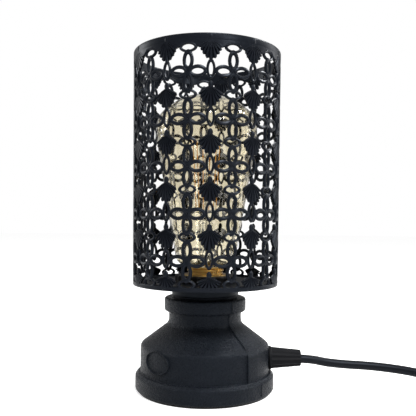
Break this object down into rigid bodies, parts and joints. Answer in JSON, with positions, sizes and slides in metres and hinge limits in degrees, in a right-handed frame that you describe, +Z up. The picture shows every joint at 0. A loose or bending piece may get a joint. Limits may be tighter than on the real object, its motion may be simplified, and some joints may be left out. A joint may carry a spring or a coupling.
{
  "type": "table lamp",
  "caption": "Industrial table lamp: cast pipe-reducer foot, short pipe stem, pierced cylindrical metal shade, bayonet filament bulb, cord with in-line switch and plug.",
  "frame": {"origin": "centre of the felt pad's underside, on the table", "axes": "+Z up along the lamp's axis, +X the side that the cord leaves by, -Y the front"},
  "size_m": [0.3786, 0.0948, 0.213],
  "materials": {
    "felt": "dense wool felt",
    "zinc_plate": "zinc plated",
    "black_casting": "sand-cast skin, satin black coat",
    "black_pipe": "satin black coat",
    "black_sheet": "satin black",
    "aged_brass": "aged",
    "white_ceramic": null,
    "bright_brass": "machined",
    "spring_steel": "drawn wire",
    "amber_glass": "amber tinted",
    "golden_brass": "lacquered",
    "black_glass": null,
    "solder": null,
    "clear_glass": "clear",
    "dark_wire": "molybdenum wire",
    "filament_wire": "warm filament",
    "zinc_steel": "zinc plated",
    "brown_sleeve": "wire insulation",
    "blue_sleeve": "wire insulation",
    "green_sleeve": "wire insulation",
    "black_nylon": "moulded nylon",
    "black_cord": "flexible sheath",
    "tie_strap": "woven strap",
    "black_plastic": "moulded",
    "gloss_black": "moulded",
    "soft_rubber": "moulded strain relief"
  },
  "bodies": {
    "base": {"felt_pad": "felt", "base_cover_plate": "zinc_plate", "base_reducer": "black_casting", "pipe_nipple": "black_pipe", "shade_wall": "black_sheet", "shade_pan": "black_sheet", "holder_barrel": "aged_brass", "holder_cap": "aged_brass", "holder_insert": "white_ceramic", "shade_ring": "aged_brass", "plunger_springs": "spring_steel", "terminal_screws": "bright_brass", "threaded_tube": "zinc_steel", "clamp_disc": "zinc_plate", "tube_washer": "zinc_steel", "tube_nut": "zinc_steel", "earth_screw": "bright_brass", "live_wire": "brown_sleeve", "neutral_wire": "blue_sleeve", "earth_wire": "green_sleeve", "cord_grip_body": "black_nylon", "cord_grip_cap": "black_nylon", "cord_grip_collet": "black_nylon", "cord_grip_locknut": "zinc_steel", "cord_front": "black_cord", "cord_lead": "black_cord", "cord_coil": "black_cord", "cord_tail": "black_cord", "coil_tie": "tie_strap", "switch_base": "black_plastic", "switch_cover": "black_plastic", "rocker_pin": "zinc_steel", "switch_terminals": "bright_brass", "switch_screws": "zinc_steel", "plug_body": "black_plastic", "plug_pins": "bright_brass", "plug_earth_pin": "bright_brass", "plug_sleeve": "soft_rubber"},
    "bulb": {"bulb_glass": "amber_glass", "bulb_cap": "golden_brass", "bayonet_pins": "golden_brass", "cap_insulator": "black_glass", "cap_contacts": "solder", "glass_stem": "clear_glass", "support_wires": "dark_wire", "filament": "filament_wire"},
    "plungers": {"contact_plungers": "bright_brass"},
    "rocker": {"switch_rocker": "gloss_black"}
  },
  "joints": [
    {"name": "bulb_press", "type": "slide", "parent": "base", "child": "bulb", "axis": [0, 0, -1], "range_m": [0, 0.0015]},
    {"name": "plunger_press", "type": "slide", "parent": "base", "child": "plungers", "axis": [0, 0, -1], "range_m": [0, 0.0015], "stiffness_N_per_m": 1200, "springref_m": -0.002, "deforming": ["plunger_springs"]},
    {"name": "rocker_tilt", "type": "hinge", "parent": "base", "child": "rocker", "pos_m": [0.226, -0.0339, 0.0142], "axis": [0, 1, 0], "range_deg": [-18, 0]}
  ],
  "couplings": [
    {"joint": "plunger_press", "follows": "bulb_press", "ratio": 1}
  ]
}
